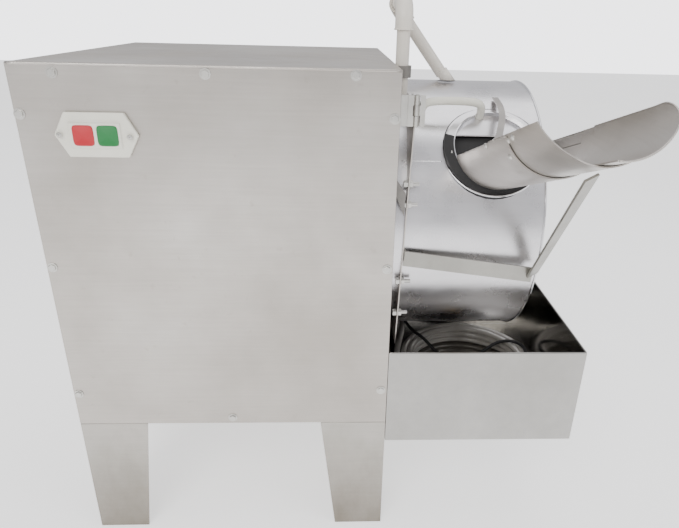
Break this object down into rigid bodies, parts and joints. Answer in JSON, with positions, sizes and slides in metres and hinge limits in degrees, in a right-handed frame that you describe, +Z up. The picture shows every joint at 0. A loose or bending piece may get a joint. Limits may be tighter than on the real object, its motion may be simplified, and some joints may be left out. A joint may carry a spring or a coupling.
{
  "type": "grape crusher destemmer",
  "caption": "Leg-mounted steel drive cabinet with a belt-driven beater in a side drum, feed chute, water pipe, switch and catch tray.",
  "frame": {"origin": "centre of the footprint at floor level, without the hose and the mains lead", "axes": "+X to the drum side, +Y to the back of the cabinet, +Z up; the switch faces -Y"},
  "size_m": [0.7876, 0.7304, 0.8455],
  "materials": {
    "sheet_steel": "satin",
    "bright_steel": "polished",
    "dull_steel": "matte",
    "zinc_steel": "satin",
    "cast_iron": "rough",
    "motor_paint": "satin",
    "black_rubber": "matte",
    "black_plastic": "matte",
    "white_pipe": "satin",
    "cream_plastic": "satin",
    "red_plastic": "gloss",
    "green_plastic": "gloss",
    "brass": "satin",
    "hose_plastic": "translucent"
  },
  "bodies": {
    "machine": {"cabinet_shell": "sheet_steel", "front_panel": "sheet_steel", "rear_panel": "sheet_steel", "leg_front_left": "sheet_steel", "leg_front_right": "sheet_steel", "leg_rear_left": "sheet_steel", "leg_rear_right": "sheet_steel", "switch_plate": "cream_plastic", "switch_body": "black_plastic", "motor_body": "motor_paint", "motor_rails": "dull_steel", "drive_belt": "black_rubber", "bearing_beam": "dull_steel", "outer_bearing": "cast_iron", "inner_bearing": "cast_iron", "shaft_seal": "black_rubber", "hinge_leaf_fixed": "zinc_steel", "hinge_pin": "zinc_steel", "side_gusset": "dull_steel", "riser_pipe": "white_pipe", "top_elbow": "white_pipe", "sloping_pipe": "white_pipe", "pipe_clip": "dull_steel", "supply_pipe": "white_pipe", "hose_tail": "brass", "catch_tray": "bright_steel", "cable_gland": "black_plastic", "water_hose": "hose_plastic", "water_hose_coil": "hose_plastic", "hose_coupling": "brass", "mains_lead": "black_rubber", "mains_lead_coil": "black_rubber", "mains_plug": "black_plastic"},
    "drum": {"drum_shell": "bright_steel", "drum_end_cover": "bright_steel", "flange_plate": "sheet_steel", "flange_bolt_1": "zinc_steel", "flange_bolt_2": "zinc_steel", "flange_bolt_3": "zinc_steel", "flange_bolt_4": "zinc_steel", "port_collar": "bright_steel", "port_liner": "black_rubber", "hinge_leaf_moving": "zinc_steel", "chute_base": "sheet_steel", "chute_middle": "sheet_steel", "feed_scoop": "sheet_steel", "support_bar": "dull_steel", "hanger_strap": "sheet_steel", "drum_handle": "cream_plastic"},
    "rotor": {"main_shaft": "bright_steel", "driven_pulley": "cast_iron", "beater_drum": "bright_steel", "finger_bar_1": "black_rubber", "finger_bar_2": "black_rubber", "finger_bar_3": "black_rubber"},
    "motor_rotor": {"motor_shaft": "bright_steel", "motor_pulley": "cast_iron"},
    "stop_button": {"stop_button": "red_plastic"},
    "start_button": {"start_button": "green_plastic"}
  },
  "joints": [
    {"name": "drum_swing", "type": "hinge", "parent": "machine", "child": "drum", "pos_m": [0.1092, -0.10477, 0.5], "axis": [0, 0, -1], "range_deg": [0, 12]},
    {"name": "rotor_spin", "type": "hinge", "parent": "machine", "child": "rotor", "pos_m": [0.0062, 0.11823, 0.508], "axis": [1, 0, 0], "continuous": true},
    {"name": "motor_spin", "type": "hinge", "parent": "machine", "child": "motor_rotor", "pos_m": [-0.2938, 0.16323, 0.3165], "axis": [1, 0, 0], "continuous": true},
    {"name": "stop_press", "type": "slide", "parent": "machine", "child": "stop_button", "axis": [0, 1, 0], "range_m": [0, 0.003], "stiffness_N_per_m": 400},
    {"name": "start_press", "type": "slide", "parent": "machine", "child": "start_button", "axis": [0, 1, 0], "range_m": [0, 0.003], "stiffness_N_per_m": 400}
  ],
  "couplings": [
    {"joint": "motor_spin", "follows": "rotor_spin", "ratio": 2.5}
  ]
}
